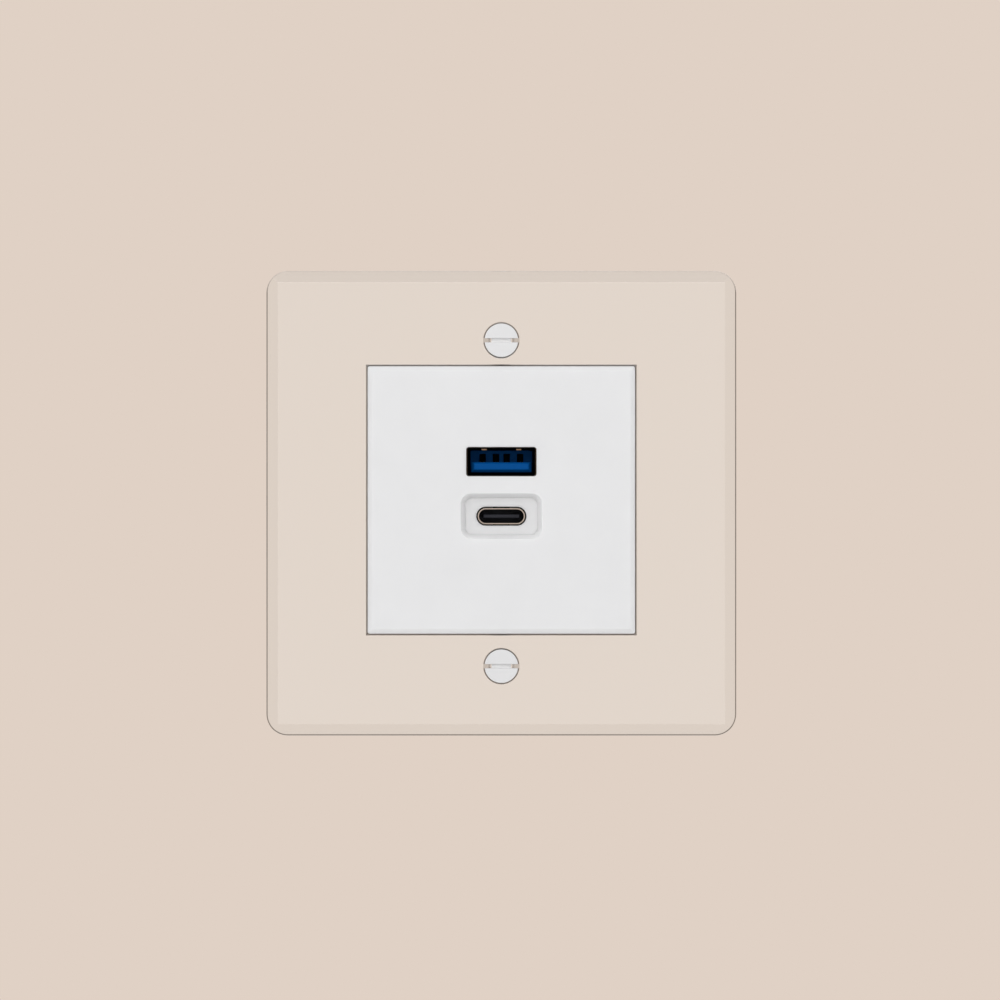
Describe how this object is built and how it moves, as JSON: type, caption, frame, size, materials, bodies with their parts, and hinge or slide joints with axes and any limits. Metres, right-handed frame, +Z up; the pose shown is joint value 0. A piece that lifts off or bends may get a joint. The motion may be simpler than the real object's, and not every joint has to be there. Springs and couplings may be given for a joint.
{
  "type": "usb wall socket",
  "caption": "Flush wall socket: clear acrylic front plate with countersunk fixing screws round a white clip-in charger module with a wide USB-A port over a recessed oval USB-C port.",
  "frame": {"origin": "on the wall plane, midway between the two fixing screws", "axes": "+Y into the wall along the fixing screws, +Z up, +X to the right as seen from the room"},
  "size_m": [0.087, 0.0324, 0.086],
  "materials": {
    "clear_acrylic": "polished clear cast acrylic",
    "white_paint": "white stoved paint",
    "white_moulding": "fine matt spark texture",
    "housing_moulding": "smooth satin moulding",
    "board_laminate": "green solder mask",
    "port_steel": "tinned steel sheet",
    "blue_insulator": "blue moulding",
    "black_insulator": "black moulding",
    "contact_gold": "gold flash on copper alloy",
    "terminal_brass": "plain brass",
    "zinc_steel": "zinc plated steel",
    "ferrite": "sintered ferrite",
    "bobbin_moulding": "phenolic moulding",
    "winding_tape": "yellow polyester tape",
    "copper_wire": "enamelled copper wire",
    "can_sleeve": "shrunk sleeve",
    "can_aluminium": "drawn aluminium",
    "fuse_case": "brown moulding",
    "disc_coating": "dipped epoxy",
    "terminal_moulding": "grey glass filled moulding"
  },
  "bodies": {
    "socket": {"bridge_rectifier": "bobbin_moulding", "bulk_capacitor_1": "can_sleeve", "bulk_capacitor_2": "can_sleeve", "choke_core": "ferrite", "choke_winding": "copper_wire", "clear_plate": "clear_acrylic", "controller_chip": "bobbin_moulding", "fuse": "fuse_case", "line_terminal_plate": "terminal_brass", "module_bezel": "white_moulding", "neutral_terminal_plate": "terminal_brass", "optocoupler": "bobbin_moulding", "output_capacitor_1": "can_aluminium", "output_capacitor_2": "can_aluminium", "plate_screws": "white_paint", "power_board": "board_laminate", "rear_housing": "housing_moulding", "suppression_capacitor": "disc_coating", "terminal_block": "terminal_moulding", "transformer_bobbin": "bobbin_moulding", "transformer_core_front": "ferrite", "transformer_core_rear": "ferrite", "transformer_winding": "winding_tape", "usb_a_contacts": "contact_gold", "usb_a_insulator": "blue_insulator", "usb_a_shell": "port_steel", "usb_c_contacts": "contact_gold", "usb_c_insulator": "black_insulator", "usb_c_shell": "port_steel", "varistor": "disc_coating"},
    "line_screw": {"line_terminal_screw": "zinc_steel"},
    "line_rising_clamp": {"line_clamp": "zinc_steel"},
    "neutral_screw": {"neutral_terminal_screw": "zinc_steel"},
    "neutral_rising_clamp": {"neutral_clamp": "zinc_steel"}
  },
  "joints": [
    {"name": "line_screw_turn", "type": "hinge", "parent": "socket", "child": "line_screw", "pos_m": [0.005, 0.02365, -0.01465], "axis": [0, -1, 0], "range_deg": [0, 1800]},
    {"name": "line_clamp_rise", "type": "slide", "parent": "socket", "child": "line_rising_clamp", "axis": [0, 1, 0], "range_m": [0, 0.0025]},
    {"name": "neutral_screw_turn", "type": "hinge", "parent": "socket", "child": "neutral_screw", "pos_m": [-0.005, 0.02365, -0.01465], "axis": [0, -1, 0], "range_deg": [0, 1800]},
    {"name": "neutral_clamp_rise", "type": "slide", "parent": "socket", "child": "neutral_rising_clamp", "axis": [0, 1, 0], "range_m": [0, 0.0025]}
  ],
  "couplings": [
    {"joint": "line_screw_turn", "follows": "line_clamp_rise", "rad_per_m": 12566},
    {"joint": "neutral_screw_turn", "follows": "neutral_clamp_rise", "rad_per_m": 12566}
  ]
}
